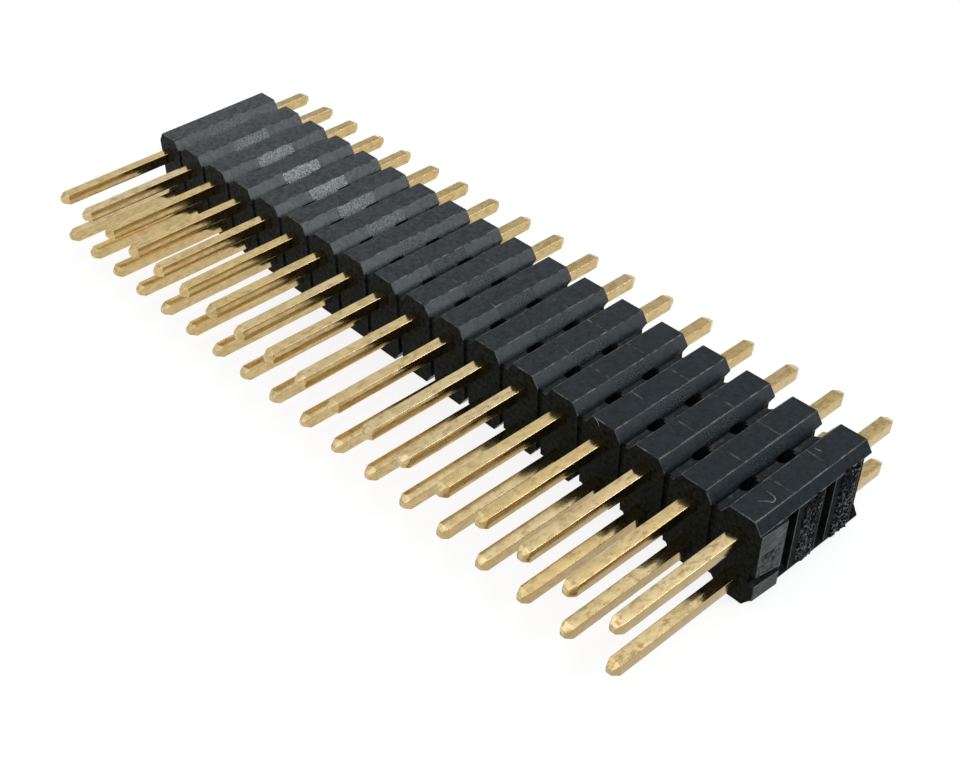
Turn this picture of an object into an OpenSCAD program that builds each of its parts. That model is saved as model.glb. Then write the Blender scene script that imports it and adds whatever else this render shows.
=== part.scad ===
// Double-row pin header strip with a stack of three insulators, lying on its side.
// X runs along the strip, +Y points to the solder tails and +Z is up.
// The origin is at the bottom centre of the whole part's box.

/* [Layout] */
// Number of positions along the strip
positions = 18; // [2:1:24]
// Distance between neighbouring positions
pitch = 2.54; // [2.4:0.01:3]
// Distance between the two rows of pins
row_spacing = 2.54; // [2:0.01:3]

/* [Insulators] */
// Depth of one insulator, measured along the pins
insulator_depth = 2.48; // [2.2:0.01:3.5]
// Height of an insulator across both rows
body_height = 4.9; // [4.5:0.05:6]
// Width of the flat at the top and bottom of a cell
flat_width = 1.32; // [1:0.02:1.7]
// Greatest width of a cell
cell_width = 2.06; // [1.9:0.02:2.2]
// Height of the chamfer beside each flat
chamfer_height = 0.55; // [0.3:0.05:0.8]
// Width of a cell at its waist, behind the web
waist_width = 1.5; // [1.2:0.02:1.8]
// Height of the lip between a cell's widest line and its waist
lip_height = 0.55; // [0.3:0.05:0.9]

/* [Webs] */
// Depth of the web that joins two cells, from the front of an insulator
web_depth = 1.8; // [1.2:0.01:2.1]
// Width of the score lines along the top and bottom of a web
score_width = 0.16; // [0.05:0.01:0.25]
// Width of the score line down the front of a web
front_score_width = 0.3; // [0.1:0.01:0.35]
// Depth of the score line down the front of a web
front_score_depth = 0.15; // [0.05:0.05:0.8]

/* [Pins] */
// Side of the square pin
pin_size = 0.64; // [0.5:0.01:0.8]
// Flat that breaks each long edge of a pin
pin_edge = 0.06; // [0.02:0.01:0.12]
// Length of pin in front of the insulators
mating_length = 7.5; // [4:0.1:15]
// Length of pin behind the insulators
tail_length = 2.95; // [2:0.05:6]
// Length of the taper at each end of a pin
tip_length = 0.4; // [0.3:0.05:1.5]
// Side of the small flat at each end of a pin
tip_size = 0.32; // [0.1:0.02:0.45]
// Space left round a pin in its hole, on each side
hole_clearance = 0.01; // [0:0.005:0.05]

/* [Broken end] */
// Thickness of the web left on the front insulator's last cell
front_stub = 0.17; // [0.03:0.01:0.3]
// Thickness of the web left on the middle insulator's last cell
middle_stub = 0.16; // [0.03:0.01:0.3]
// Thickness of the web left on the rear insulator's last cell
rear_stub = 0.2; // [0.03:0.01:0.3]
// Depth at which the torn webs of the middle and rear insulators start
tear_start = 0.4; // [0.1:0.05:0.8]
// Slant of the torn face, from the back to the front of a web
tear_slant = 0.06; // [0:0.01:0.1]
// Distance of the torn wedge's lower side below the middle between the rows
tear_drop = 1.04; // [0.6:0.02:1.6]
// Height of the wedge torn out of the front web, at the front
tear_height = 0.6; // [0.4:0.05:1.5]
// Height of that wedge where the web ends
tear_end_height = 0.25; // [0.1:0.05:0.5]
// Depth that the wedge reaches into the last cell
tear_reach = 0.25; // [0.1:0.05:0.3]

/* [Hidden] */
INSULATORS = ["front_insulator", "middle_insulator", "rear_insulator"];
STUBS = [front_stub, middle_stub, rear_stub];
ROWS = ["lower", "upper"];
PIN_NODES = [for (row = ROWS) for (p = [1 : positions]) pin_name(row, p)];

insulator_black = [0.09, 0.10, 0.11];
pin_gold = [0.83, 0.70, 0.42];

stack_depth = len(INSULATORS) * insulator_depth;
pin_length = mating_length + stack_depth + tail_length;
body_front = mating_length - pin_length / 2;
last_x = (positions - 1) * pitch / 2;
// The stub makes the right end longer than the left, so the strip shifts by half of it
strip_shift = max(STUBS) / 2;
gap_width = pitch - cell_width;
shoulder = body_height / 2 - chamfer_height;
chamfer_run = (cell_width - flat_width) / 2;
// A score line along a web carries the chamfer beside it further down
score_drop = score_width * chamfer_height / chamfer_run;
waist_top = shoulder - lip_height;
hole_size = pin_size + 2 * hole_clearance;
cut_over = 0.1;

function pin_name(row, p) = str(row, "_pin_", p < 10 ? "0" : "", p);
function cell_x(p) = (p - 1) * pitch - last_x - strip_shift;
function row_z(row) = row == "upper" ? row_spacing / 2 : -row_spacing / 2;
function mirrored(side) = concat(side, [for (i = [len(side) - 1 : -1 : 0]) [-side[i][0], side[i][1]]]);

// Right side of a cell that the webs join, from its top to its bottom
joined_side = [
    [flat_width / 2, body_height / 2],
    [cell_width / 2, shoulder],
    [cell_width / 2, -shoulder],
    [flat_width / 2, -body_height / 2]
];

// Right side of a cell behind the webs, drawn in to a waist between two lips
waisted_side = [
    [flat_width / 2, body_height / 2],
    [cell_width / 2, shoulder],
    [waist_width / 2, waist_top],
    [waist_width / 2, -waist_top],
    [cell_width / 2, -shoulder],
    [flat_width / 2, -body_height / 2]
];

// Cross-section of a pin: a square with broken edges
pin_side = [
    [pin_size / 2 - pin_edge, pin_size / 2],
    [pin_size / 2, pin_size / 2 - pin_edge],
    [pin_size / 2, pin_edge - pin_size / 2],
    [pin_size / 2 - pin_edge, -pin_size / 2]
];

// Half of a pin's length profile, as width against length, with a taper at each end
pin_taper = [
    [tip_size / 2, 0],
    [pin_size / 2, tip_length],
    [pin_size / 2, pin_length - tip_length],
    [tip_size / 2, pin_length]
];

// Draws an XZ outline out along the pins, from one depth to the next
module along_pins(from, depth) {
    translate([0, from + depth, 0])
        rotate([90, 0, 0])
            linear_extrude(depth)
                children();
}

// Top of the web to the right of a cell, with its score line, from left to right
web_top = [
    [cell_width / 2 - cut_over, shoulder - score_drop],
    [cell_width / 2 + score_width, shoulder - score_drop],
    [cell_width / 2 + score_width, shoulder],
    [pitch - cell_width / 2 + cut_over, shoulder]
];

// Web to the right of a cell, scored along its top and bottom beside the cell
module web_outline() {
    polygon(concat(web_top, [for (i = [len(web_top) - 1 : -1 : 0]) [web_top[i][0], -web_top[i][1]]]));
    polygon([
        [cell_width / 2, shoulder],
        [cell_width / 2 + score_width, shoulder - score_drop],
        [cell_width / 2 + score_width, score_drop - shoulder],
        [cell_width / 2, -shoulder]
    ]);
}

// Front part of an insulator: every cell joined to the next by its web
module joined_cells() {
    for (p = [1 : positions]) {
        translate([cell_x(p), 0]) {
            polygon(mirrored(joined_side));
            if (p < positions) web_outline();
        }
    }
}

// Score lines down the front of the webs
module front_scores() {
    for (p = [1 : positions - 1]) {
        translate([cell_x(p) + cell_width / 2, -cut_over, -body_height / 2])
            cube([front_score_width, cut_over + front_score_depth, body_height]);
    }
}

// Rounds the back of each web, between two cells and on the snapped end
module web_rounds() {
    for (p = [1 : positions]) {
        translate([cell_x(p) + pitch / 2, web_depth, -body_height / 2])
            cylinder(h = body_height, d = gap_width);
    }
}

// Holes for the pins, through the whole depth of an insulator
module pin_holes() {
    for (p = [1 : positions]) {
        for (row = ROWS) {
            translate([cell_x(p) - hole_size / 2, -cut_over, row_z(row) - hole_size / 2])
                cube([hole_size, insulator_depth + 2 * cut_over, hole_size]);
        }
    }
}

// What is left of the snapped web on the last cell: a thin slab whose torn face slants
module broken_web(thickness, from) {
    translate([cell_x(positions) + cell_width / 2, 0, -shoulder])
        linear_extrude(2 * shoulder)
            polygon([
                [-cut_over, from],
                [max(thickness - tear_slant, thickness / 2), from],
                [thickness, max(web_depth - gap_width / 2, from)],
                [thickness, web_depth],
                [-cut_over, web_depth]
            ]);
}

// Wedge that tore out of the front web between the rows, narrowing towards the back
module torn_wedge() {
    translate([cell_x(positions) + cell_width / 2 - tear_reach, 0, -tear_drop])
        rotate([90, 0, 90])
            linear_extrude(tear_reach + front_stub + cut_over)
                polygon([
                    [-cut_over, 0],
                    [web_depth, 0],
                    [web_depth, tear_end_height],
                    [-cut_over, tear_height]
                ]);
}

// One insulator moulding, with its front face at Y = 0 and its rows about Z = 0
module insulator(stub, stub_from) {
    difference() {
        union() {
            along_pins(0, web_depth) joined_cells();
            along_pins(web_depth, insulator_depth - web_depth)
                for (p = [1 : positions])
                    translate([cell_x(p), 0])
                        polygon(mirrored(waisted_side));
            broken_web(stub, stub_from);
        }
        front_scores();
        web_rounds();
        pin_holes();
    }
}

// Puts a moulding in its place in the stack, resting on its flats
module in_stack(place) {
    color(insulator_black)
        translate([0, body_front + place * insulator_depth, body_height / 2])
            children();
}

module front_insulator() {
    in_stack(0)
        difference() {
            insulator(front_stub, 0);
            torn_wedge();
        }
}

module middle_insulator() {
    in_stack(1) insulator(middle_stub, tear_start);
}

module rear_insulator() {
    in_stack(2) insulator(rear_stub, tear_start);
}

// One square pin with tapered ends, along Y from 0
module pin() {
    intersection() {
        along_pins(0, pin_length) polygon(mirrored(pin_side));
        translate([0, 0, -pin_size])
            linear_extrude(2 * pin_size)
                polygon(mirrored(pin_taper));
        translate([-pin_size, 0, 0])
            rotate([90, 0, 90])
                linear_extrude(2 * pin_size)
                    polygon([for (point = mirrored(pin_taper)) [point[1], point[0]]]);
    }
}

module placed_pin(row, p) {
    color(pin_gold)
        translate([cell_x(p), -pin_length / 2, body_height / 2 + row_z(row)])
            pin();
}

front_insulator();
middle_insulator();
rear_insulator();
for (row = ROWS) {
    for (p = [1 : positions]) {
        placed_pin(row, p);
    }
}
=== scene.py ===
# %% [markdown]
# # A double-row pin header strip
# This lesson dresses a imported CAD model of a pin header: three black insulator strips stacked on
# two rows of gold-plated square pins, snapped off a longer strip at one end. The CAD model is the
# fixed frame, so everything below is made in metres in that frame and sits where the CAD says.

# %% Load the frame
import math

import bmesh
import bpy
import numpy as np
from mathutils import Matrix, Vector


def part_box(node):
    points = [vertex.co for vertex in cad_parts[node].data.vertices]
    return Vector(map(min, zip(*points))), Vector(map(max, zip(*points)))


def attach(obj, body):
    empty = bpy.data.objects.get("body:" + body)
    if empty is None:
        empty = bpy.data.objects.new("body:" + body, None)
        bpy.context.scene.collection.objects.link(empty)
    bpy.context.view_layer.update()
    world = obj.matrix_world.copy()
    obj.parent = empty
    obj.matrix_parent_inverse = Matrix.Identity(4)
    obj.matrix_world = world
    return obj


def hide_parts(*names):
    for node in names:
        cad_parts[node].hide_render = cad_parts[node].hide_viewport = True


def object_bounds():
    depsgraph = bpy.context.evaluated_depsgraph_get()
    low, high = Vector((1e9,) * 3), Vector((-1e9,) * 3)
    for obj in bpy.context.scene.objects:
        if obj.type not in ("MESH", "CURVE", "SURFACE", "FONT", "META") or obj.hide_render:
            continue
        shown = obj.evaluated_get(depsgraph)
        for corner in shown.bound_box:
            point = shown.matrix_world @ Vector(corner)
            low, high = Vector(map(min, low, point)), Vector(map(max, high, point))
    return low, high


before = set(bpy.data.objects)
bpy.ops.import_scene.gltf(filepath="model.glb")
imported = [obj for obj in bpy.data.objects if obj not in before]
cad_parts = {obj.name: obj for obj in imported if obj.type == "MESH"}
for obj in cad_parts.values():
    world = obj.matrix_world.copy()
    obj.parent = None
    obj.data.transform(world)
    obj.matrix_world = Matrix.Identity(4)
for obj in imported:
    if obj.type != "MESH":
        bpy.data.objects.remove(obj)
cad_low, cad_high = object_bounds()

MM = 0.001
scene = bpy.context.scene
print("nodes:", len(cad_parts), "box from", tuple(cad_low), "to", tuple(cad_high))

# %% [markdown]
# ## The camera
# The photograph was taken from above the snapped end, with the long pin ends towards the viewer.
# The angles and the distance were solved from pin tips and insulator corners. The picture is a crop
# of a larger one, so the optical axis isn't at its middle, and a small lens shift stands for that.

# %% Camera
PHOTO_WIDTH, PHOTO_HEIGHT = 960, 760
SENSOR_WIDTH = 36.0
FOCAL_PIXELS = 1335.23
OPTICAL_AXIS = (384, 400)
AZIMUTH, ELEVATION, ROLL = (math.radians(a) for a in (52.93, 40.05, -3.81))
LOOK_AT = np.array([-0.1, -1.445, 2.45]) * MM
CAMERA_PLACE = np.array([-0.85, -3.72, 68.62]) * MM


def view_axes(azimuth, elevation, roll):
    """Rows are the camera's right, up and backward directions: backward comes from the two angles,
    right is level, and the roll then turns right and up about backward."""
    back = np.array([
        math.sin(azimuth) * math.cos(elevation),
        -math.cos(azimuth) * math.cos(elevation),
        math.sin(elevation),
    ])
    level = np.array([math.cos(azimuth), math.sin(azimuth), 0.0])
    upright = np.cross(back, level)
    right = math.cos(roll) * level + math.sin(roll) * upright
    up = math.cos(roll) * upright - math.sin(roll) * level
    return np.array([right, up, back])


axes = view_axes(AZIMUTH, ELEVATION, ROLL)
camera_matrix = np.eye(4)
camera_matrix[:3, :3] = axes.T
camera_matrix[:3, 3] = LOOK_AT + axes.T @ CAMERA_PLACE
camera_data = bpy.data.cameras.new("camera")
camera_data.sensor_width = SENSOR_WIDTH
camera_data.lens = FOCAL_PIXELS * SENSOR_WIDTH / PHOTO_WIDTH
camera_data.shift_x = (PHOTO_WIDTH / 2 - OPTICAL_AXIS[0]) / PHOTO_WIDTH
camera_data.shift_y = (OPTICAL_AXIS[1] - PHOTO_HEIGHT / 2) / PHOTO_WIDTH
camera_data.clip_start = 1 * MM
camera_data.clip_end = 10.0
camera = bpy.data.objects.new("camera", camera_data)
camera.matrix_world = Matrix(camera_matrix.tolist())
scene.collection.objects.link(camera)
scene.camera = camera
print("camera at", camera_matrix[:3, 3], "lens", round(camera_data.lens, 2), "mm")

# %% [markdown]
# ## Helpers for shader nodes
# Every finish below is a graph of nodes. Written out in full, one node takes three or four lines, so
# small helpers make a node with its settings, and the sums, ramps, mixes, noises and bumps made of it.


# %% Node helpers
def add_node(tree, kind, settings=(), inputs=()):
    """Makes a node, sets its properties and fills its inputs with values or links."""
    node = tree.nodes.new(kind)
    for name, value in dict(settings).items():
        setattr(node, name, value)
    for name, value in dict(inputs).items():
        if isinstance(value, bpy.types.NodeSocket):
            tree.links.new(value, node.inputs[name])
        else:
            node.inputs[name].default_value = value
    return node


def math_node(tree, operation, first, second=0.0, clamp=False):
    """One sum, product or comparison of two values, as a socket."""
    settings = {"operation": operation, "use_clamp": clamp}
    return add_node(tree, "ShaderNodeMath", settings, {0: first, 1: second}).outputs[0]


def ramp(tree, value, low, high, to_low=0.0, to_high=1.0):
    """A value carried from one range to another and held at the ends."""
    inputs = {"Value": value, "From Min": low, "From Max": high, "To Min": to_low, "To Max": to_high}
    return add_node(tree, "ShaderNodeMapRange", {}, inputs).outputs["Result"]


def mix_colours(tree, factor, first, second):
    """A colour between two colours."""
    node = add_node(tree, "ShaderNodeMix", {"data_type": "RGBA"}, {"Factor": factor})
    for socket, value in (("A", first), ("B", second)):
        target = next(i for i in node.inputs if i.name == socket and i.type == "RGBA")
        if isinstance(value, bpy.types.NodeSocket):
            tree.links.new(value, target)
        else:
            target.default_value = (*value, 1.0)
    return next(o for o in node.outputs if o.type == "RGBA")


def noise(tree, point, size, detail=2.0, roughness=0.5, distortion=0.0):
    """Cloudy noise whose blobs are about the given size across. The size may be a socket."""
    is_socket = isinstance(size, bpy.types.NodeSocket)
    scale = math_node(tree, "DIVIDE", 1.0, size) if is_socket else 1.0 / size
    inputs = {
        "Vector": point, "Scale": scale, "Detail": detail,
        "Roughness": roughness, "Distortion": distortion,
    }
    return add_node(tree, "ShaderNodeTexNoise", {}, inputs).outputs["Fac"]


def object_place(tree):
    """The place on an object, in metres, as a socket."""
    return add_node(tree, "ShaderNodeTexCoord").outputs["Object"]


def split(tree, vector):
    """The X, Y and Z of a vector, as sockets."""
    return add_node(tree, "ShaderNodeSeparateXYZ", {}, {"Vector": vector}).outputs


def stored(tree, name):
    """A number that a mesh keeps for each of its points, as a socket."""
    return add_node(tree, "ShaderNodeAttribute", {"attribute_name": name}).outputs["Fac"]


def bump_normal(tree, shader, height, strength, distance):
    """Tilts a shader's normal with a height, whose range from 0 to 1 stands for the distance."""
    inputs = {"Strength": strength, "Distance": distance, "Height": height}
    bump = add_node(tree, "ShaderNodeBump", {}, inputs)
    tree.links.new(bump.outputs["Normal"], shader.inputs["Normal"])


def new_group(name, inputs, outputs):
    """An empty node group with named number inputs and with named outputs."""
    group = bpy.data.node_groups.new(name, "ShaderNodeTree")
    for socket, default in inputs:
        made = group.interface.new_socket(socket, in_out="INPUT", socket_type="NodeSocketFloat")
        made.default_value = default
    for socket in outputs:
        group.interface.new_socket(socket, in_out="OUTPUT", socket_type="NodeSocketFloat")
    return group, group.nodes.new("NodeGroupInput"), group.nodes.new("NodeGroupOutput")


def place_group(tree, group, inputs=()):
    """Puts a group into a material, with this material's own values."""
    return add_node(tree, "ShaderNodeGroup", {"node_tree": group}, inputs)


def new_finish(name):
    """A material with a Principled shader, ready for its colour, roughness and bump."""
    material = bpy.data.materials.new(name)
    material.use_nodes = True
    tree = material.node_tree
    return material, tree, tree.nodes["Principled BSDF"]


print("node helpers ready")

# %% [markdown]
# ## Effects that several finishes share
# Plastic and plated metal both carry a fine relief and small specks. The worn plastics and the gold
# have worn marks, the moulded plastics have smudges and a paler layer towards the far end, which on
# the middle strip's bevels is a painted sheen, and the torn ones have a net of pale, stretched
# plastic. Each effect is a node group, so it is built once and every material places it with its own
# sizes and limits.

# %% Shared effect: fine relief
relief_group, given, result = new_group(
    "fine_relief", [("Grain", 0.05 * MM), ("Wave", 0.6 * MM), ("Wave share", 0.5)], ["Height"]
)
place = object_place(relief_group)
grain = noise(relief_group, place, given.outputs["Grain"], detail=3.0)
wave = noise(relief_group, place, given.outputs["Wave"], detail=1.0)
wave_part = math_node(relief_group, "MULTIPLY", wave, given.outputs["Wave share"])
grain_share = math_node(relief_group, "SUBTRACT", 1.0, given.outputs["Wave share"])
grain_part = math_node(relief_group, "MULTIPLY", grain, grain_share)
height = math_node(relief_group, "ADD", wave_part, grain_part)
relief_group.links.new(height, result.inputs["Height"])

# %% Shared effect: smudges and a layer towards the far end
FAR_END = -21.6 * MM
SMUDGE_LIMITS = (0.36, 0.64)
far_layer_group, given, result = new_group(
    "smudges_and_far_layer",
    [("Size", 0.24 * MM), ("Start", 14 * MM), ("Full", -22 * MM), ("Far share", 1.0)],
    ["Smudge", "Cover"],
)
place = object_place(far_layer_group)
along_strip = split(far_layer_group, place)["X"]
clouds = noise(far_layer_group, place, given.outputs["Size"], detail=4.0, roughness=0.65)
smudge = ramp(far_layer_group, clouds, *SMUDGE_LIMITS)
# The layer grows from Start to Full along the strip; on the grainy bevels it is a painted sheen.
gathered = ramp(far_layer_group, along_strip, given.outputs["Start"], given.outputs["Full"])
left = ramp(far_layer_group, along_strip, given.outputs["Full"], FAR_END, 1.0, given.outputs["Far share"])
far_layer_depth = math_node(far_layer_group, "MULTIPLY", gathered, left)
cover = math_node(far_layer_group, "MULTIPLY", smudge, far_layer_depth)
far_layer_group.links.new(smudge, result.inputs["Smudge"])
far_layer_group.links.new(cover, result.inputs["Cover"])

# %% Shared effect: worn marks
wear_group, given, result = new_group(
    "worn_marks", [("Spread", 0.3 * MM), ("Stretch", 1.0), ("Low", 0.45), ("High", 0.65)], ["Mask"]
)
parts = split(wear_group, object_place(wear_group))
drawn_depth = math_node(wear_group, "MULTIPLY", parts["Y"], given.outputs["Stretch"])
drawn_inputs = {"X": parts["X"], "Y": drawn_depth, "Z": parts["Z"]}
drawn = add_node(wear_group, "ShaderNodeCombineXYZ", {}, drawn_inputs).outputs["Vector"]
clouds = noise(wear_group, drawn, given.outputs["Spread"], detail=4.0, roughness=0.65)
mask = ramp(wear_group, clouds, given.outputs["Low"], given.outputs["High"])
wear_group.links.new(mask, result.inputs["Mask"])

# %% Shared effect: specks
speck_group, given, result = new_group(
    "specks", [("Spacing", 0.3 * MM), ("Size", 0.12), ("Share", 0.4)], ["Mask"]
)
scale = math_node(speck_group, "DIVIDE", 1.0, given.outputs["Spacing"])
cell_inputs = {"Vector": object_place(speck_group), "Scale": scale}
cells = add_node(speck_group, "ShaderNodeTexVoronoi", {}, cell_inputs)
dot = math_node(speck_group, "LESS_THAN", cells.outputs["Distance"], given.outputs["Size"])
pick = add_node(speck_group, "ShaderNodeSeparateColor", {}, {"Color": cells.outputs["Color"]})
picked = math_node(speck_group, "LESS_THAN", pick.outputs["Red"], given.outputs["Share"])
mask = math_node(speck_group, "MULTIPLY", dot, picked)
speck_group.links.new(mask, result.inputs["Mask"])

# %% Shared effect: torn net
NET_LINE = (0.03, 0.11)
NET_GAPS = (0.44, 0.58)
net_group, given, result = new_group("torn_net", [("Spacing", 0.2 * MM)], ["Mask"])
place = object_place(net_group)
scale = math_node(net_group, "DIVIDE", 1.0, given.outputs["Spacing"])
cell_inputs = {"Vector": place, "Scale": scale}
cells = add_node(net_group, "ShaderNodeTexVoronoi", {"feature": "DISTANCE_TO_EDGE"}, cell_inputs)
net = ramp(net_group, cells.outputs["Distance"], *NET_LINE, to_low=1.0, to_high=0.0)
gaps = ramp(net_group, noise(net_group, place, given.outputs["Spacing"], detail=3.0), *NET_GAPS)
mask = math_node(net_group, "MULTIPLY", net, gaps)
net_group.links.new(mask, result.inputs["Mask"])
print("shared effects:", [group.name for group in bpy.data.node_groups])

# %% [markdown]
# ## Black moulded plastic
# The insulators are glass-filled black plastic: almost black, slightly blue, with a satin sheen on
# the outer faces, a fine grain from the mould and a few light specks. The bevels beside the flats are
# a little rougher, and those of the middle strip are grainy, with a pale painted sheen towards the far
# end. The faces that the pins pass through and the sides between the cells are dull, and so is the
# snapped end; the dull faces get a lighter, warm-green tone, a painted reflection of the pins. The
# sides at the snapped end get a darker copy, painted shade where the window lamp lights them. The
# other plastics grow a little paler towards the far end. One function makes all six, because only
# tone, roughness, grain and gloss differ.


# %% Black plastic finish
# Paler towards the far end: a faint grey layer that grows from 14 mm to -22 mm.
PLAIN_FAR_PALING = {"colour": (0.050, 0.0555, 0.058), "Start": 14 * MM, "Full": -22 * MM, "Far share": 1.0}
# Painted sheen on the middle strip's bevels: pale, broken by smudges, fullest at -13 mm.
PAINTED_FAR_SHEEN = {"colour": (0.43, 0.447, 0.451), "Start": -1 * MM, "Full": -13 * MM, "Far share": 0.25}
SPECKS = {"Spacing": 0.25 * MM, "Size": 0.1, "Share": 0.2}
SPECK_GREY, SPECK_STRENGTH = (0.16, 0.17, 0.18), 0.3
DARKEST, LIGHTEST = 0.3, 1.6
SMUDGE_GRAINS = 3


def moulded_plastic(
    name, tone, roughness, grain, bump_strength, gloss, spread=0.04, far_layer=PLAIN_FAR_PALING, ior=1.5
):
    """Black plastic: smudges move the tone, the fine relief feeds the bump and spreads the roughness,
    and a paler layer fades in towards the far end; on the grainy bevels it is a painted sheen."""
    material, tree, shader = new_finish(name)
    relief_inputs = {"Grain": grain, "Wave": 0.5 * MM, "Wave share": 0.2}
    height = place_group(tree, relief_group, relief_inputs).outputs["Height"]
    far_layer_inputs = {socket: far_layer[socket] for socket in ("Start", "Full", "Far share")}
    layer = place_group(tree, far_layer_group, {"Size": SMUDGE_GRAINS * grain, **far_layer_inputs})
    darkest, lightest = (tuple(share * part for part in tone) for share in (DARKEST, LIGHTEST))
    body = mix_colours(tree, layer.outputs["Smudge"], darkest, lightest)
    dusty = mix_colours(tree, layer.outputs["Cover"], body, far_layer["colour"])
    specks = place_group(tree, speck_group, SPECKS)
    speck_share = math_node(tree, "MULTIPLY", specks.outputs["Mask"], SPECK_STRENGTH)
    colour = mix_colours(tree, speck_share, dusty, SPECK_GREY)
    rough = ramp(tree, height, 0.4, 0.6, to_low=roughness - spread, to_high=roughness + spread)
    bump_normal(tree, shader, height, bump_strength, distance=0.02 * MM)
    tree.links.new(colour, shader.inputs["Base Color"])
    tree.links.new(rough, shader.inputs["Roughness"])
    shader.inputs["Specular IOR Level"].default_value = gloss
    shader.inputs["IOR"].default_value = ior
    return material


# %% The six black plastics
BLUE_BLACK = (0.0040, 0.0092, 0.0125)
# Painted reflection: the dull faces' lighter, warm-green tone stands for the pins they reflect.
PAINTED_REFLECTION_BLACK = (0.0175, 0.0205, 0.0165)
# Painted shade: a darker tone for the end's sides that the window lamp lights.
SHADED_GREY_BLACK = (0.008, 0.0088, 0.009)
FINE, FINEST = 0.08 * MM, 0.03 * MM
satin = moulded_plastic(
    "satin_black_plastic", BLUE_BLACK, roughness=0.29, grain=FINE, bump_strength=0.3, gloss=0.25
)
bevelled = moulded_plastic(
    "bevelled_black_plastic", BLUE_BLACK, roughness=0.35, grain=FINE, bump_strength=0.3, gloss=0.27
)
# Its far layer is a painted sheen, not dust.
grainy = moulded_plastic(
    "grainy_black_plastic", BLUE_BLACK, roughness=0.28, grain=FINEST, bump_strength=0.6, gloss=0.23,
    spread=0.12, far_layer=PAINTED_FAR_SHEEN,
)
# The dull plastic's tone is a painted reflection of the pins on top of the black plastic.
dull = moulded_plastic(
    "dull_black_plastic", PAINTED_REFLECTION_BLACK, roughness=0.5, grain=FINE, bump_strength=0.6, gloss=0.1,
    ior=1.2,
)
broken_end = moulded_plastic(
    "end_black_plastic", BLUE_BLACK, roughness=0.4, grain=FINE, bump_strength=0.4, gloss=0.12
)
# A darker copy of the dull plastic: painted shade on the end's lamp-facing sides.
shaded_end_side = moulded_plastic(
    "end_side_black_plastic", SHADED_GREY_BLACK, roughness=0.5, grain=FINE, bump_strength=0.5, gloss=0.05,
    ior=1.25,
)
plastics = (satin, bevelled, grainy, dull, broken_end, shaded_end_side)
print("plastic finishes:", [finish.name for finish in plastics])

# %% [markdown]
# ## Worn plastic
# Handling leaves pale marks on black plastic. On the edges they come in short stretches, and there the
# pale colour is also a painted highlight on the small rounded edges. On the webs and on the snapped
# face they are smears and streaks. Both are noise turned into a mask, so they break up by themselves,
# and the streaks are the same noise stretched along the strip's depth.


# %% Worn finishes
UNWORN_BLACK = (0.007, 0.009, 0.011)
WORN_RELIEF = {"Grain": 0.06 * MM, "Wave": 0.2 * MM, "Wave share": 0.6}


def worn_plastic(name, spread, stretch, limits, pale, gloss):
    """Black plastic with pale, rougher marks where stretched noise lies above its limits."""
    material, tree, shader = new_finish(name)
    mark_inputs = {"Spread": spread, "Stretch": stretch, "Low": limits[0], "High": limits[1]}
    mask = place_group(tree, wear_group, mark_inputs).outputs["Mask"]
    colour = mix_colours(tree, mask, UNWORN_BLACK, pale)
    rough = ramp(tree, mask, 0.0, 1.0, to_low=0.34, to_high=0.6)
    relief = place_group(tree, relief_group, WORN_RELIEF)
    bump_normal(tree, shader, relief.outputs["Height"], strength=0.35, distance=0.03 * MM)
    tree.links.new(colour, shader.inputs["Base Color"])
    tree.links.new(rough, shader.inputs["Roughness"])
    shader.inputs["Specular IOR Level"].default_value = gloss
    return material


# Rounded edges: partly real wear, partly a painted highlight along the edges.
edge_wear_and_highlight = worn_plastic(
    "rubbed_and_highlit_plastic_edge", spread=0.5 * MM, stretch=1.0, limits=(0.44, 0.66),
    pale=(0.16, 0.165, 0.165), gloss=0.32,
)
smeared = worn_plastic(
    "smeared_plastic_web", spread=0.2 * MM, stretch=0.6, limits=(0.52, 0.72),
    pale=(0.06, 0.063, 0.066), gloss=0.17,
)
scraped = worn_plastic(
    "scraped_plastic_face", spread=0.34 * MM, stretch=0.5, limits=(0.47, 0.68),
    pale=(0.14, 0.145, 0.145), gloss=0.12,
)
print("worn finishes:", edge_wear_and_highlight.name, smeared.name, scraped.name)

# %% [markdown]
# ## The insulators
# Each insulator is one moulding. A cell could be swept from its outline, but holes, webs and score
# lines meet in one skin, and the CAD solid already has them exactly. So a copy of that solid is
# merged, its flat faces are joined again, and a Bevel gives the small rounded edges that catch light.
# The snapped webs of the middle and rear strips are pressed flat here, because a torn one goes there.

# %% Finishes of an insulator's faces
CELL_WIDTH = 2.06 * MM
WEB_TOP, WEB_SLACK = 1.9 * MM, 0.3 * MM
BEVEL_FOOT, BEVEL_RUN = 1.7 * MM, 0.4 * MM
LEAST_STUB = 0.02 * MM
SQUARE_ON, SLANTED = 0.9, 0.5
FACES = {"flat": 0, "edge": 1, "dull": 2, "web": 3, "snapped": 4, "bevel": 5, "end": 6, "side": 7}
last_low, last_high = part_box("upper_pin_18")
end_face_x = (last_low.x + last_high.x) / 2 + CELL_WIDTH / 2
middle_z = (cad_low.z + cad_high.z) / 2


def face_finish(normal, centre):
    """Which finish a flat face gets, from where it looks and where it lies."""
    off_middle = abs(centre.z - middle_z)
    if normal.x > SQUARE_ON and centre.x > end_face_x + LEAST_STUB:
        return FACES["snapped"]
    # The end's side faces get the darker copy, painted shade where the window lamp lights them.
    if normal.x > SLANTED and centre.x > end_face_x - BEVEL_RUN:
        return FACES["end" if off_middle > BEVEL_FOOT else "side"]
    if abs(normal.z) > SQUARE_ON and abs(off_middle - WEB_TOP) < WEB_SLACK:
        return FACES["web"]
    if max(abs(normal.x), abs(normal.y)) > SQUARE_ON or off_middle < BEVEL_FOOT:
        return FACES["dull"]
    return FACES["flat"] if abs(normal.z) > SQUARE_ON else FACES["bevel"]


print("the snapped end's side face is at x =", round(end_face_x / MM, 3), "mm")

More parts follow.
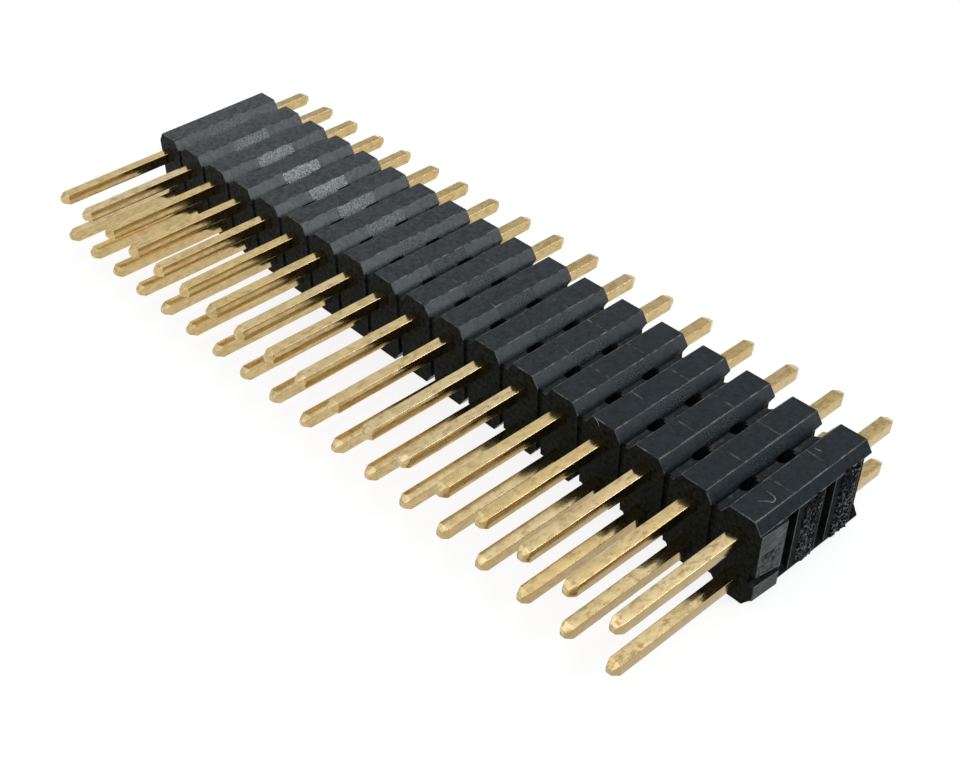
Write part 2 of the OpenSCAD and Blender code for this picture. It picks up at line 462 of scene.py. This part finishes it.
# %% Edges that are rounded
FLAT_HEIGHT = 2.4 * MM
LEAST_LENGTH, LEAST_ANGLE = 0.25 * MM, math.radians(25)
AT_FACE, AT_END = 0.01 * MM, 0.05 * MM
stack_front, stack_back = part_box("front_insulator")[0].y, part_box("rear_insulator")[1].y


def worn_edge(edge):
    """Whether the Bevel rounds an edge: a long, sharp one round a cell's top or bottom flat, on the
    stack's front or back, or at an end of the strip. Score lines and pin holes keep sharp edges."""
    if edge.calc_length() < LEAST_LENGTH or edge.calc_face_angle(0.0) < LEAST_ANGLE:
        return False
    places = [corner.co for corner in edge.verts]
    outside = all(min(place.y - stack_front, stack_back - place.y) < AT_FACE for place in places)
    at_flat = (any if outside else all)(abs(place.z - middle_z) > FLAT_HEIGHT for place in places)
    near_x, far_x = end_face_x - AT_END, cad_low.x + AT_END
    at_end = all(place.x > near_x or place.x < far_x for place in places)
    return at_flat or at_end


print("the stack is", round((stack_back - stack_front) / MM, 3), "mm deep")

# %% Insulators
INSULATORS = ("front_insulator", "middle_insulator", "rear_insulator")
EDGE_ROUND = 0.035 * MM
SAME_POINT = 1e-7
SAME_PLANE = math.radians(1)


def merged_skin(mesh, press_stub):
    """The skin of a mesh with its points merged and its flat faces joined. Pressing the stub moves the
    rest of a snapped web back to the last cell's side."""
    skin = bmesh.new()
    skin.from_mesh(mesh)
    bmesh.ops.remove_doubles(skin, verts=skin.verts, dist=SAME_POINT)
    if press_stub:
        for vertex in skin.verts:
            vertex.co.x = min(vertex.co.x, end_face_x)
        bmesh.ops.remove_doubles(skin, verts=skin.verts, dist=SAME_POINT)
        bmesh.ops.dissolve_degenerate(skin, edges=skin.edges, dist=SAME_POINT)
    bmesh.ops.dissolve_limit(skin, angle_limit=SAME_PLANE, verts=skin.verts, edges=skin.edges)
    skin.normal_update()
    return skin


def moulded_copy(node, bevel_finish, press_stub):
    """A merged copy of a CAD solid with a finish on each face, whose outer edges a Bevel rounds."""
    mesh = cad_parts[node].data.copy()
    mesh.name = node + "_moulding"
    mesh.materials.clear()
    for finish in (satin, edge_wear_and_highlight, dull, smeared, scraped, bevel_finish, broken_end, shaded_end_side):
        mesh.materials.append(finish)
    skin = merged_skin(mesh, press_stub)
    for face in skin.faces:
        face.material_index = face_finish(face.normal, face.calc_center_median())
        face.smooth = False
    weight = skin.edges.layers.float.new("bevel_weight_edge")
    for edge in skin.edges:
        edge[weight] = 1.0 if worn_edge(edge) else 0.0
    skin.to_mesh(mesh)
    skin.free()
    piece = bpy.data.objects.new(node + "_moulding", mesh)
    scene.collection.objects.link(piece)
    bevel = piece.modifiers.new("rounded_edges", "BEVEL")
    bevel.width = EDGE_ROUND
    bevel.segments = 2
    bevel.use_clamp_overlap = False
    bevel.limit_method = "WEIGHT"
    # The rounded edges get the rubbed finish, whose pale marks are partly a painted highlight.
    bevel.material = FACES["edge"]
    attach(piece, "root")
    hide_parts(node)
    return piece


insulator_pieces = [
    moulded_copy(node, grainy if node == "middle_insulator" else bevelled, node != "front_insulator")
    for node in INSULATORS
]
print("insulators:", [(piece.name, len(piece.data.polygons)) for piece in insulator_pieces])

# %% [markdown]
# ## Putting a numpy surface into a mesh
# The pins and the torn webs are surfaces worked out as arrays. A grid of points gives its own faces:
# each face joins a point to its neighbours in the next row and column.


# %% Grid helpers
LATTICE = 64


def grid_faces(rows, columns, closed):
    """Corner numbers of a grid's faces. A closed grid joins its last column to its first."""
    index = np.arange(rows * columns).reshape(rows, columns)
    across = np.roll(index, -1, axis=1) if closed else index[:, 1:]
    here = index if closed else index[:, :-1]
    corners = [here[:-1], here[1:], across[1:], across[:-1]]
    return np.stack(corners, axis=-1).reshape(-1, 4)


def tube_faces(rings, sides):
    """Faces of a tube made of rings of points, with a flat cap at each end."""
    first = np.arange(sides)
    last = first[::-1] + sides * (rings - 1)
    return grid_faces(rings, sides, closed=True).tolist() + [first.tolist(), last.tolist()]


def slab_faces(rows, columns):
    """Faces of a closed slab: a grid in front, the same grid turned round behind it, and the walls
    along their rim."""
    front = grid_faces(rows, columns, closed=False)
    index = np.arange(rows * columns).reshape(rows, columns)
    rim = np.concatenate([index[0, :-1], index[:-1, -1], index[-1, :0:-1], index[:0:-1, 0]])
    after = np.roll(rim, -1)
    walls = np.column_stack([rim, after, after + rows * columns, rim + rows * columns])
    return np.concatenate([front, front[:, ::-1] + rows * columns, walls]).tolist()


def mesh_piece(name, points, faces, finish, smooth=True):
    """A mesh object at the origin, riding on the part, made from points and faces."""
    mesh = bpy.data.meshes.new(name)
    mesh.from_pydata(points.reshape(-1, 3), [], faces)
    mesh.materials.append(finish)
    if smooth:
        mesh.shade_smooth()
    piece = bpy.data.objects.new(name, mesh)
    scene.collection.objects.link(piece)
    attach(piece, "root")
    return piece


def store(piece, name, values):
    """Keeps one number for each point of a mesh, where a finish can read it."""
    attribute = piece.data.attributes.new(name, "FLOAT", "POINT")
    attribute.data.foreach_set("value", np.ravel(values).astype(np.float32))


def soft_noise(across, along, size, seed):
    """Value noise on whole arrays: random numbers on a lattice, eased between the lattice points."""
    table = np.random.default_rng(seed).random((LATTICE, LATTICE))
    u, v = across / size, along / size
    left, low = np.floor(u).astype(int), np.floor(v).astype(int)
    ease_u, ease_v = (t * t * (3 - 2 * t) for t in (u - left, v - low))
    corner = [[table[(left + i) % LATTICE, (low + j) % LATTICE] for j in (0, 1)] for i in (0, 1)]
    lower = corner[0][0] * (1 - ease_u) + corner[1][0] * ease_u
    upper = corner[0][1] * (1 - ease_u) + corner[1][1] * ease_u
    return lower * (1 - ease_v) + upper * ease_v


print("grid helpers ready")

# %% [markdown]
# ## Gold plating
# The pins are brass with a thin, pale gold plating. It is nearly a mirror, but the plating is mottled
# and pitted, and the tails are a little tarnished. The sides of the mating ends are painted brown, a
# painted shade for the dark reflection that they show. The tips, and the pins next to the snapped end,
# are the most stained. Each pin has a slightly different tone. Tone and the painted side shade are
# stored on the mesh as attributes, so one material serves all 36 pins.

# %% Gold finish
PALE_GOLD, DEEP_GOLD, FADED_GOLD = (0.88, 0.71, 0.41), (0.89, 0.66, 0.30), (0.64, 0.48, 0.22)
# Painted shade on the sides of the mating ends: dark brown-gold for the dark reflection they show.
LIGHT_SIDE_SHADE, DARK_SIDE_SHADE = (0.43, 0.32, 0.15), (0.30, 0.21, 0.085)
STAIN_BROWN, PIT_BROWN = (0.47, 0.34, 0.15), (0.30, 0.20, 0.08)
STAINS = {"Spread": 0.2 * MM, "Stretch": 0.45, "Low": 0.46, "High": 0.62}
PITS = {"Spacing": 0.2 * MM, "Size": 0.17, "Share": 0.2}
PIT_STRENGTH = 0.5
PLATING_RELIEF = {"Grain": 0.1 * MM, "Wave": 0.35 * MM, "Wave share": 0.8}
gold, tree, shader = new_finish("pale_gold_plating")
place = object_place(tree)
parts = split(tree, place)
stain = place_group(tree, wear_group, STAINS).outputs["Mask"]
blotch = noise(tree, place, 0.75 * MM, distortion=0.3)
bare = mix_colours(tree, stored(tree, "plating_tone"), PALE_GOLD, DEEP_GOLD)
plating = mix_colours(tree, ramp(tree, blotch, 0.42, 0.66, to_high=0.6), bare, FADED_GOLD)
# The painted side shade, mottled by the stain noise, goes on the sides that the mesh marks.
side_shade_colour = mix_colours(tree, stain, LIGHT_SIDE_SHADE, DARK_SIDE_SHADE)
side_shaded = mix_colours(tree, stored(tree, "shaded_side"), plating, side_shade_colour)

# %% Stains and pits of the gold
tarnish = ramp(tree, parts["Y"], 5.5 * MM, 7.0 * MM, to_high=0.6)
clouds = noise(tree, place, 0.6 * MM)
stained_area = ramp(tree, clouds, 0.42, 0.6, to_low=0.2, to_high=0.75)
near_tip = ramp(tree, parts["Y"], -7.6 * MM, -8.6 * MM, to_high=0.75)
near_end = ramp(tree, parts["X"], 17 * MM, 21 * MM, to_high=0.3)
stain_limit = math_node(tree, "MAXIMUM", stained_area, near_tip)
stain_limit = math_node(tree, "ADD", stain_limit, near_end)
spots = math_node(tree, "MULTIPLY", stain, stain_limit)
stain_share = math_node(tree, "ADD", spots, tarnish, clamp=True)
stained = mix_colours(tree, stain_share, side_shaded, STAIN_BROWN)
pits = place_group(tree, speck_group, PITS)
pit_share = math_node(tree, "MULTIPLY", pits.outputs["Mask"], PIT_STRENGTH)
pitted = mix_colours(tree, pit_share, stained, PIT_BROWN)
rough = ramp(tree, blotch, 0.35, 0.7, to_low=0.1, to_high=0.2)
relief = place_group(tree, relief_group, PLATING_RELIEF)
bump_normal(tree, shader, relief.outputs["Height"], strength=0.13, distance=0.02 * MM)
tree.links.new(pitted, shader.inputs["Base Color"])
tree.links.new(rough, shader.inputs["Roughness"])
shader.inputs["Metallic"].default_value = 1.0
print("gold finish:", gold.name)

# %% [markdown]
# ## The pins
# Each pin is a drawn square wire with rounded edges, cut and swaged to a blunt four-sided taper at
# both ends. It could be a bevelled cube, but then the tapers would have hard, equal facets. Here one
# outline, a square with rounded corners and slightly crowned sides, is carried along the pin while
# its half-width and corner radius change. Exact normals keep the sides crisp.

# %% Pin outline
ARC_POINTS = 5
FLAT_POINTS = np.array([-0.55, 0.0, 0.55])
CROWN_SLOPE = math.radians(4)


def pin_outline():
    """Walks round a square, anticlockwise, from its right side. For each point it gives the place on
    the square of arc centres, the outward direction, and how far it lies from a side's middle."""
    arc = CROWN_SLOPE + (math.pi / 2 - 2 * CROWN_SLOPE) * np.linspace(0, 1, ARC_POINTS)
    centres, directions, offsets = [], [], []
    for quarter in range(4):
        turn = quarter * math.pi / 2
        spin = np.array([[math.cos(turn), math.sin(turn)], [-math.sin(turn), math.cos(turn)]])
        flat_tilt = CROWN_SLOPE * FLAT_POINTS
        flat = np.column_stack([np.ones_like(FLAT_POINTS), FLAT_POINTS])
        centre = np.vstack([flat, np.ones((ARC_POINTS, 2))])
        angle = np.concatenate([flat_tilt, arc])
        direction = np.column_stack([np.cos(angle), np.sin(angle)])
        centres.append(centre @ spin)
        directions.append(direction @ spin)
        offsets.append(np.concatenate([np.abs(FLAT_POINTS), np.ones(ARC_POINTS)]))
    return np.vstack(centres), np.vstack(directions), np.concatenate(offsets)


outline_centre, outline_direction, outline_offset = pin_outline()
print("points round a pin:", len(outline_centre))

# %% Pin shapes
PIN_ROUND, PIN_CROWN = 0.032 * MM, 0.006 * MM
ROUND_GROWTH, ROUND_LIMIT, ROUND_REACH = 0.6, 0.6, 0.4 * MM
TIP_HALF, TIP_LENGTH, TIP_NOSE = (0.145, 0.185), (0.3, 0.42), (0.75, 0.9)
TIP_STEPS = np.array([0, 0.04, 0.1, 0.18, 0.4, 0.7, 0.92, 0.99, 1.06, 1.2, 1.5])
NOSE_LENGTH = 0.06 * MM
SHAFT_STEPS = 36
PIN_SHRINK = 0.004 * MM
SWAY_SIZE, SWAY_SEED, SWAY_PHASES = 1.3, 5, 40
rng = np.random.default_rng(36)


def taper(distance, half, tip_half, tip_length, nose):
    """Half-width at a distance from the pin's end: a straight chamfer, times a rounded nose."""
    chamfer = half - (half - tip_half) * np.clip(1 - distance / tip_length, 0, 1)
    ahead = np.clip(1 - distance / NOSE_LENGTH, 0, 1)
    return chamfer * np.sqrt(1 - (1 - nose ** 2) * ahead ** 2)


def pin_profile(low, high):
    """Places along a pin and its half-widths there. Each end has its own tip, whose chamfers differ a
    little across and upright, as those of cut wire do."""
    half = (high[0] - low[0]) / 2
    tip_half, tip_length = rng.uniform(*TIP_HALF, (2, 2)) * MM, rng.uniform(*TIP_LENGTH, (2, 2)) * MM
    nose, phase = rng.uniform(*TIP_NOSE, 2), rng.uniform(0, SWAY_PHASES)
    longest = tip_length.max(axis=1)
    start, end = low[1] + TIP_STEPS * longest[0], high[1] - TIP_STEPS[::-1] * longest[1]
    along = np.concatenate([start, np.linspace(start[-1], end[0], SHAFT_STEPS)[1:-1], end])
    sway = soft_noise(along / MM + phase, np.zeros_like(along), SWAY_SIZE, SWAY_SEED) - 0.5
    width = np.stack([
        np.minimum(
            taper(along - low[1], half, tip_half[0, k], tip_length[0, k], nose[0]),
            taper(high[1] - along, half, tip_half[1, k], tip_length[1, k], nose[1]),
        )
        for k in (0, 1)
    ], axis=-1)
    return along, width - PIN_SHRINK * (1 + 2 * sway)[:, None]


def pin_surface(low, high, along, width):
    """Points and normals of the outline carried along Y between the ends of the CAD pin."""
    middle = (low + high) / 2
    near_end = np.clip(1 - np.minimum(along - low[1], high[1] - along) / ROUND_REACH, 0, 1)
    corner = np.minimum(PIN_ROUND * (1 + ROUND_GROWTH * near_end), ROUND_LIMIT * width.min(axis=1))
    reach = corner[:, None, None] - PIN_CROWN * outline_offset[None, :, None] ** 2
    flat = outline_centre[None] * (width - corner[:, None])[:, None] + outline_direction[None] * reach
    points = np.empty((*flat.shape[:2], 3))
    points[..., 0] = middle[0] + flat[..., 0]
    points[..., 1] = along[:, None]
    points[..., 2] = middle[2] + flat[..., 1]
    slope = np.gradient(width, along, axis=0) @ (outline_direction.T ** 2)
    facing = np.broadcast_to(outline_direction, flat.shape)
    normals = np.stack([facing[..., 0], -slope, facing[..., 1]], axis=-1)
    return points, normals / np.linalg.norm(normals, axis=-1, keepdims=True)


# %% Pins
# How strong the painted side shade is: growing towards the snapped end, weakest on the tails.
LEAST_SIDE_SHADE, TAIL_SIDE_SHADE = 0.6, 0.3
SIDE_SHADE_START, SIDE_SHADE_RUN = 8 * MM, 10 * MM


def square_pin(name, node):
    """A pin in place of a CAD pin, which stores its own tone and the painted shade of its two sides.
    The painted shade grows towards the snapped end and is least on the tails."""
    low, high = (np.array(corner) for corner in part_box(node))
    along, width = pin_profile(low, high)
    points, normals = pin_surface(low, high, along, width)
    piece = mesh_piece(name, points, tube_faces(*points.shape[:2]), gold)
    piece.data.normals_split_custom_set_from_vertices(normals.reshape(-1, 3))
    store(piece, "plating_tone", np.full(points.shape[:2], rng.uniform(0, 1)))
    nearness = np.clip(((low[0] + high[0]) / 2 - SIDE_SHADE_START) / SIDE_SHADE_RUN, 0, 1)
    side_shade_share = LEAST_SIDE_SHADE + (1 - LEAST_SIDE_SHADE) * nearness
    mating_side_shade = side_shade_share * np.clip((stack_front - along) / MM, TAIL_SIDE_SHADE, 1)
    # Painted shade on the sides that face along X, strongest in front of the insulators.
    store(piece, "shaded_side", mating_side_shade[:, None] * outline_direction[None, :, 0] ** 2)
    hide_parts(node)
    return piece


pins = [
    square_pin(f"gold_pin_{row}_{position:02d}", f"{row}_pin_{position:02d}")
    for row in ("lower", "upper")
    for position in range(1, 19)
]
print("pins:", len(pins), "faces each:", len(pins[0].data.polygons))

# %% [markdown]
# ## Torn plastic
# Where the strip was snapped off, the webs of the middle and rear insulators tore. Torn glass-filled
# plastic is a bed of small bright grains on black. The grains are real relief in the mesh, and the
# finish paints their tops pale, a painted glint, beside a broken net of pale, stretched plastic. The
# front insulator's web snapped cleanly, apart from a crumbled patch above the wedge that tore out of
# it.

# %% Torn finish
NET_SPACING = 0.2 * MM
TORN_RELIEF = {"Grain": 0.05 * MM, "Wave": 0.12 * MM, "Wave share": 0.6}


def torn_plastic(name, dark, pale, limits):
    """Black plastic with pale grains: a broken net of stretched plastic, strongest low down, and a
    painted glint on the tops of the relief, which lie between two limits of the stored height."""
    material, tree, shader = new_finish(name)
    height = split(tree, object_place(tree))["Z"]
    net = place_group(tree, net_group, {"Spacing": NET_SPACING}).outputs["Mask"]
    net_strength = ramp(tree, height, 2.6 * MM, 3.9 * MM, to_low=1.0, to_high=0.2)
    low_net = math_node(tree, "MULTIPLY", net, net_strength)
    # Painted glints: the high points of the relief are painted pale, the low ones stay dark.
    painted_glint_tops = ramp(tree, stored(tree, "grain_top"), *limits)
    net_and_painted_glints = math_node(tree, "MAXIMUM", painted_glint_tops, low_net)
    colour = mix_colours(tree, net_and_painted_glints, dark, pale)
    rough = ramp(tree, net_and_painted_glints, 0.0, 1.0, to_low=0.6, to_high=0.4)
    relief = place_group(tree, relief_group, TORN_RELIEF)
    bump_normal(tree, shader, relief.outputs["Height"], strength=0.6, distance=0.03 * MM)
    tree.links.new(colour, shader.inputs["Base Color"])
    tree.links.new(rough, shader.inputs["Roughness"])
    shader.inputs["Specular IOR Level"].default_value = 0.06
    shader.inputs["IOR"].default_value = 1.25
    return material


torn = torn_plastic(
    "torn_plastic", dark=(0.003, 0.0033, 0.0036), pale=(0.18, 0.185, 0.19), limits=(0.66, 0.88)
)
crumbled = torn_plastic(
    "crumbled_plastic", dark=(0.012, 0.013, 0.0135), pale=(0.12, 0.125, 0.127), limits=(0.25, 0.7)
)
print("torn finishes:", torn.name, crumbled.name)

# %% Torn webs
GRAIN_STEP = 0.03 * MM
GRAIN_SIZES = ((0.25, 0.4 * MM, 0.3), (0.5, 0.11 * MM, 0.7), (0.25, 0.06 * MM, 1.2))
BACK_SUNK = 0.03 * MM
FACE_SUNK = 0.2 * BACK_SUNK
RAGGED, RAGGED_SIZE, RAGGED_SEED = 0.16 * MM, 0.25 * MM, 10
RIM_STEPS = 2.5
LEAST_RISE, BACK_RISE, GRAIN_RISE = 0.1, 0.35, 0.55


def torn_relief(along, up, seed):
    """Height of a torn face from 0 to 1: three sizes of noise, the middle one strongest. Each is turned
    by its own angle, so that no lattice shows."""
    relief = np.zeros_like(along)
    for step, (share, size, turn) in enumerate(GRAIN_SIZES):
        across = math.cos(turn) * along + math.sin(turn) * up
        upright = math.cos(turn) * up - math.sin(turn) * along
        relief += share * soft_noise(across, upright, size, seed + step)
    return (relief - relief.min()) / (relief.max() - relief.min())


def torn_web(name, node, finish, lengths, foot, head, base, thickness, seed):
    """A closed slab on the last cell's side: a grid over depth and height with ragged borders, raised
    by the torn relief in front and flat behind, where it is sunk into what it lies on. The foot's
    height and the base that it lies on run straight from the slab's front to its back."""
    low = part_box(node)[0]
    start, end = lengths
    rows, columns = int((end - start) / GRAIN_STEP), int((head - min(foot)) / GRAIN_STEP)
    p, q = np.meshgrid(np.linspace(0, 1, rows), np.linspace(0, 1, columns), indexing="ij")
    foot_line, base_line = (line[0] + (line[1] - line[0]) * p for line in (foot, base))
    along = low.y + start + (end - start) * p
    up = foot_line + (head - foot_line) * q
    border = [
        soft_noise(line, 0 * up, RAGGED_SIZE, seed + RAGGED_SEED + k) - 0.5
        for k, line in enumerate((up, up, along, along))
    ]
    along_ragged = along + RAGGED * (border[0] * (1 - p) + border[1] * p)
    up_ragged = up + RAGGED * (border[2] * (1 - q) + border[3] * q)
    edge = np.minimum(np.minimum(p, 1 - p) * rows, np.minimum(q, 1 - q) * columns)
    fade = np.clip(edge / RIM_STEPS, 0, 1) ** 0.5
    grain_top = torn_relief(along, up, seed) * fade
    height = thickness * (LEAST_RISE + BACK_RISE * p + GRAIN_RISE * grain_top) * fade
    face = np.stack([base_line - FACE_SUNK + height, along_ragged, up_ragged], axis=-1)
    back = np.stack([base_line - BACK_SUNK, along_ragged, up_ragged], axis=-1)
    points = np.concatenate([face.reshape(-1, 3), back.reshape(-1, 3)])
    piece = mesh_piece(name, points, slab_faces(rows, columns), finish, smooth=False)
    store(piece, "grain_top", np.tile(grain_top.ravel(), 2))
    return piece


WEB_LENGTHS = (0.44 * MM, 1.5 * MM)
WEB_FOOT, WEB_HEAD = (middle_z - WEB_TOP, middle_z - WEB_TOP), middle_z + WEB_TOP
END_FACE = (end_face_x, end_face_x)
SNAPPED_FACE = (end_face_x + 0.114 * MM, end_face_x + 0.163 * MM)
torn_pieces = [
    torn_web(
        "torn_web_middle", "middle_insulator", torn, WEB_LENGTHS, WEB_FOOT, WEB_HEAD, END_FACE,
        thickness=0.16 * MM, seed=3,
    ),
    torn_web(
        "torn_web_rear", "rear_insulator", torn, WEB_LENGTHS, WEB_FOOT, WEB_HEAD, END_FACE,
        thickness=0.2 * MM, seed=17,
    ),
    torn_web(
        "crumbled_patch", "front_insulator", crumbled, lengths=(0.1 * MM, 1.4 * MM),
        foot=(2.0 * MM, 1.76 * MM), head=3.2 * MM, base=SNAPPED_FACE, thickness=0.04 * MM, seed=29,
    ),
]
print("torn webs:", [(piece.name, len(piece.data.polygons)) for piece in torn_pieces])

# %% [markdown]
# ## Scratches and burrs
# A few pale marks are plain to see: a hooked scratch and a short one on the last cell's top, and a
# curl of burr on a front corner. Each is a thin raised thread of plastic, so a small round outline
# is carried along a short path.

# %% Burr finish and threads
BURR_GREY, BURR_WHITE = (0.16, 0.165, 0.16), (0.42, 0.42, 0.40)
THREAD_SIDES = 6
THIN_END = 0.35
burr, tree, shader = new_finish("pale_burr")
clouds = noise(tree, object_place(tree), 0.15 * MM)
tree.links.new(mix_colours(tree, clouds, BURR_GREY, BURR_WHITE), shader.inputs["Base Color"])
shader.inputs["Roughness"].default_value = 0.55


def smooth_path(corners, steps):
    """A curve through a few corners: a cubic between each two, whose slope at a corner follows the
    chord between that corner's neighbours."""
    ends = np.vstack([2 * corners[0] - corners[1], corners, 2 * corners[-1] - corners[-2]])
    t = np.linspace(0, len(corners) - 1, steps)
    part = np.minimum(t.astype(int), len(corners) - 2)
    s = (t - part)[:, None]
    a, b, c, d = (ends[part + k] for k in range(4))
    square = (2 * a - 5 * b + 4 * c - d) * s ** 2
    cube = (3 * (b - c) + d - a) * s ** 3
    return 0.5 * (2 * b + (c - a) * s + square + cube)


def thread(name, corners, radius, steps=24):
    """A round outline carried along a path and thinner at both ends."""
    path = smooth_path(np.array(corners) * MM, steps)
    run = np.gradient(path, axis=0)
    run = run / np.linalg.norm(run, axis=1, keepdims=True)
    side = np.cross(run, [0.0, 0.0, 1.0])
    side = side / np.linalg.norm(side, axis=1, keepdims=True)
    over = np.cross(side, run)
    angle = np.linspace(0, 2 * math.pi, THREAD_SIDES, endpoint=False)
    swell = np.sin(np.linspace(0, math.pi, steps))
    girth = radius * (THIN_END + (1 - THIN_END) * swell)[:, None, None]
    circle = np.cos(angle)[None, :, None] * side[:, None] + np.sin(angle)[None, :, None] * over[:, None]
    points = path[:, None] + girth * circle
    return mesh_piece(name, points, tube_faces(steps, THREAD_SIDES), burr)


TOP = 4.895
marks = [
    thread("scratch_hook", [
        (21.28, 0.34, TOP), (21.58, 0.32, TOP), (21.80, 0.26, TOP), (21.88, 0.10, TOP),
        (21.86, -0.05, TOP), (21.70, -0.11, TOP), (21.43, -0.40, TOP),
    ], radius=0.02 * MM, steps=40),
    thread("scratch_short", [
        (21.0, 3.88, TOP), (21.2, 3.9, TOP), (21.37, 3.91, TOP),
    ], radius=0.018 * MM),
    thread("burr_curl", [
        (13.22, -1.40, 4.83), (13.38, -1.43, 4.87), (13.50, -1.46, 4.83), (13.62, -1.46, 4.70),
        (13.68, -1.455, 4.56),
    ], radius=0.02 * MM),
]
print("marks:", [mark.name for mark in marks])

# %% [markdown]
# ## Floor, backdrop and light
# The photograph has a clean white background. A white floor catches a soft shadow and turns up into a
# round white backdrop, as paper in a studio does. Above it the world is brighter overhead than around.
# One lamp behind the strip, to the right, draws the sheen on the far bevels of the insulators. In a
# studio a flag would keep it off the pins, where it glares; here it is linked to the other pieces
# only. A small lamp above, linked to the pins, draws the thin bright line on each pin's upper edge.

# %% Floor and backdrop
FLOOR_RADIUS, BACKDROP_HEIGHT = 1.9, 0.62
BEND_WIDTH, BEND_STEPS = 0.3, 9
FLOOR_LIFT, BACKDROP_LIFT = 0.84, 0.92
FLOOR_GAP = 0.002 * MM
SHEET_SIDES = 96
PAPER_GREY = (0.2, 0.2, 0.2, 1.0)


def white_surface(name, lift):
    """White paper: a pale colour that takes the shadow, lifted where a camera ray or a mirrored or
    refracted ray looks at it."""
    material, tree, shader = new_finish(name)
    shader.inputs["Base Color"].default_value = PAPER_GREY
    shader.inputs["Roughness"].default_value = 0.9
    shader.inputs["Specular IOR Level"].default_value = 0.0
    seen = add_node(tree, "ShaderNodeLightPath")
    looked_at = math_node(tree, "MAXIMUM", seen.outputs["Is Camera Ray"], seen.outputs["Is Glossy Ray"])
    looked_at = math_node(tree, "MAXIMUM", looked_at, seen.outputs["Is Transmission Ray"])
    shader.inputs["Emission Color"].default_value = (1.0, 1.0, 1.0, 1.0)
    tree.links.new(math_node(tree, "MULTIPLY", looked_at, lift), shader.inputs["Emission Strength"])
    return material


def turned_sheet(name, radii, heights, finish):
    """A sheet turned about the Z axis: each pair of a radius and a height gives one ring of points."""
    angle = np.linspace(0, 2 * math.pi, SHEET_SIDES, endpoint=False)
    ring = np.stack([np.cos(angle), np.sin(angle), 0 * angle], axis=-1)
    upward = np.array([0.0, 0.0, 1.0])
    points = np.array(radii)[:, None, None] * ring + np.array(heights)[:, None, None] * upward
    faces = grid_faces(len(radii), SHEET_SIDES, closed=True)
    mesh = bpy.data.meshes.new(name)
    mesh.from_pydata(points.reshape(-1, 3), [], faces.tolist())
    mesh.materials.append(finish)
    mesh.shade_smooth()
    sheet = bpy.data.objects.new(name, mesh)
    scene.collection.objects.link(sheet)
    return sheet


ground = cad_low.z - FLOOR_GAP
flat_radius = FLOOR_RADIUS - BEND_WIDTH
bend = np.linspace(0, math.pi / 2, BEND_STEPS)
floor = turned_sheet(
    "floor", [0.0, flat_radius], [ground, ground], white_surface("white_floor", FLOOR_LIFT)
)
backdrop = turned_sheet(
    "backdrop",
    flat_radius + BEND_WIDTH * np.sin(bend),
    ground + BACKDROP_HEIGHT * (1 - np.cos(bend)),
    white_surface("white_backdrop", BACKDROP_LIFT),
)
print("floor and backdrop:", floor.name, backdrop.name)

# %% World
AROUND, OVERHEAD = 0.72, 0.55
OVERHEAD_LIMITS = (0.68, 0.9)
ROOM_WHITE = (0.97, 0.985, 1.0, 1.0)
world = bpy.data.worlds.new("white_room")
world.use_nodes = True
tree = world.node_tree
room = tree.nodes["Background"]
direction = add_node(tree, "ShaderNodeTexCoord").outputs["Generated"]
height = split(tree, direction)["Z"]
strength = ramp(tree, height, *OVERHEAD_LIMITS, to_low=AROUND, to_high=AROUND + OVERHEAD)
tree.links.new(strength, room.inputs["Strength"])
room.inputs["Color"].default_value = ROOM_WHITE
scene.world = world
print("world:", world.name)


# %% Lamps
def panel(name, direction, distance, size, brightness):
    """A square lamp that faces the part. Its power follows from how bright its face is."""
    lamp = bpy.data.lights.new(name, "AREA")
    lamp.shape = "SQUARE"
    lamp.size = size
    lamp.energy = brightness * math.pi * size ** 2
    back = np.array(direction) / np.linalg.norm(direction)
    side = np.cross([0.0, 0.0, 1.0], back)
    side = side / np.linalg.norm(side)
    matrix = np.eye(4)
    matrix[:3, :3] = np.column_stack([side, np.cross(back, side), back])
    matrix[:3, 3] = back * distance
    holder = bpy.data.objects.new(name, lamp)
    holder.matrix_world = Matrix(matrix.tolist())
    scene.collection.objects.link(holder)
    return holder


def light_only(lamp, pieces):
    """Links a lamp to some pieces, so that it lights no others."""
    lit = bpy.data.collections.new(lamp.name + "_lights")
    for piece in pieces:
        lit.objects.link(piece)
    lamp.light_linking.receiver_collection = lit


window_lamp = panel("window_lamp", (0.735, 0.46, 0.50), distance=0.30, size=0.10, brightness=10.5)
window_lamp.data.color = (0.9, 0.97, 1.0)
light_only(window_lamp, (*insulator_pieces, *torn_pieces, *marks, floor))
edge_lamp = panel("edge_lamp", (0.0, 0.55, 0.83), distance=0.30, size=0.08, brightness=6.0)
light_only(edge_lamp, pins)
scene.view_settings.view_transform = "Standard"
print("lamps:", [(lamp.name, round(lamp.data.energy, 3)) for lamp in (window_lamp, edge_lamp)])
